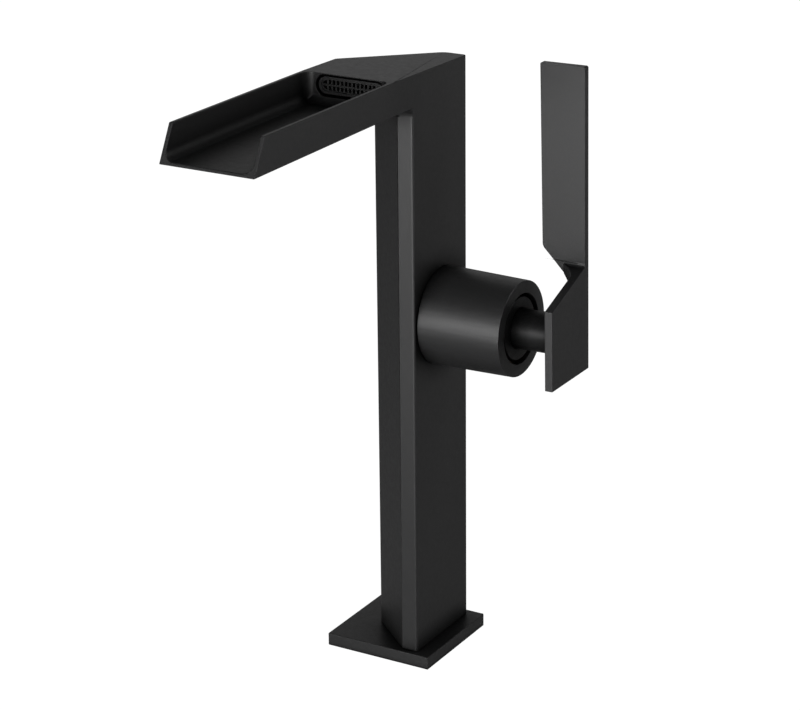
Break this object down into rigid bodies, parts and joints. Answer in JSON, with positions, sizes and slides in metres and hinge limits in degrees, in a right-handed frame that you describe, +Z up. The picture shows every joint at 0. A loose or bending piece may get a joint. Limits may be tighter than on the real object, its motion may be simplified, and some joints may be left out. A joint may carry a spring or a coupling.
{
  "type": "waterfall basin mixer",
  "caption": "Tall black basin mixer with a wedge shaped column, open trough spout, slotted outlet and a side valve with a folded blade lever.",
  "frame": {"origin": "middle of the base plate's underside, on the deck", "axes": "+Z up along the column, the spout points to -Y, the valve to +X"},
  "size_m": [0.1206, 0.1882, 0.3039],
  "materials": {
    "painted_black": "matte powder coat",
    "black_rubber": "matte",
    "brass": "machined",
    "steel": "satin",
    "black_plastic": "matte",
    "white_plastic": "matte",
    "blue_plastic": "matte",
    "red_plastic": "matte",
    "ceramic": "polished ceramic"
  },
  "bodies": {
    "fixed": {"body": "painted_black", "base_plate": "painted_black", "deck_gasket": "black_rubber", "foot_block": "brass", "plate_screws": "steel", "cold_tube": "brass", "hot_tube": "brass", "tube_seals": "black_rubber", "outlet_gasket": "black_rubber", "outlet_frame": "black_plastic", "outlet_grid": "black_plastic", "valve_sleeve": "painted_black", "sleeve_ring": "black_rubber", "retaining_nut": "brass", "port_seals": "black_rubber", "cartridge_base": "white_plastic", "base_seal": "black_rubber", "cartridge_housing": "white_plastic", "fixed_disc": "ceramic", "glide_ring": "white_plastic", "limit_ring": "red_plastic"},
    "guide": {"stem_guide": "black_plastic", "stem_pin": "steel"},
    "plate": {"moving_disc": "ceramic", "disc_holder": "blue_plastic"},
    "handle": {"valve_stem": "brass", "lever_cap": "painted_black", "lever": "painted_black", "grub_screw": "steel", "screw_plug": "black_rubber"}
  },
  "joints": [
    {"name": "temperature_turn", "type": "hinge", "parent": "fixed", "child": "guide", "pos_m": [0.051, 0, 0.1769], "axis": [1, 0, 0], "range_deg": [-45, 45]},
    {"name": "lever_tilt", "type": "hinge", "parent": "guide", "child": "handle", "pos_m": [0.051, 0, 0.1769], "axis": [0, 1, 0], "range_deg": [0, 23.96]},
    {"name": "disc_slide", "type": "slide", "parent": "guide", "child": "plate", "axis": [0, 0, 1], "range_m": [0, 0.0048]}
  ],
  "couplings": [
    {"joint": "disc_slide", "follows": "lever_tilt", "m_per_rad": 0.0107}
  ]
}
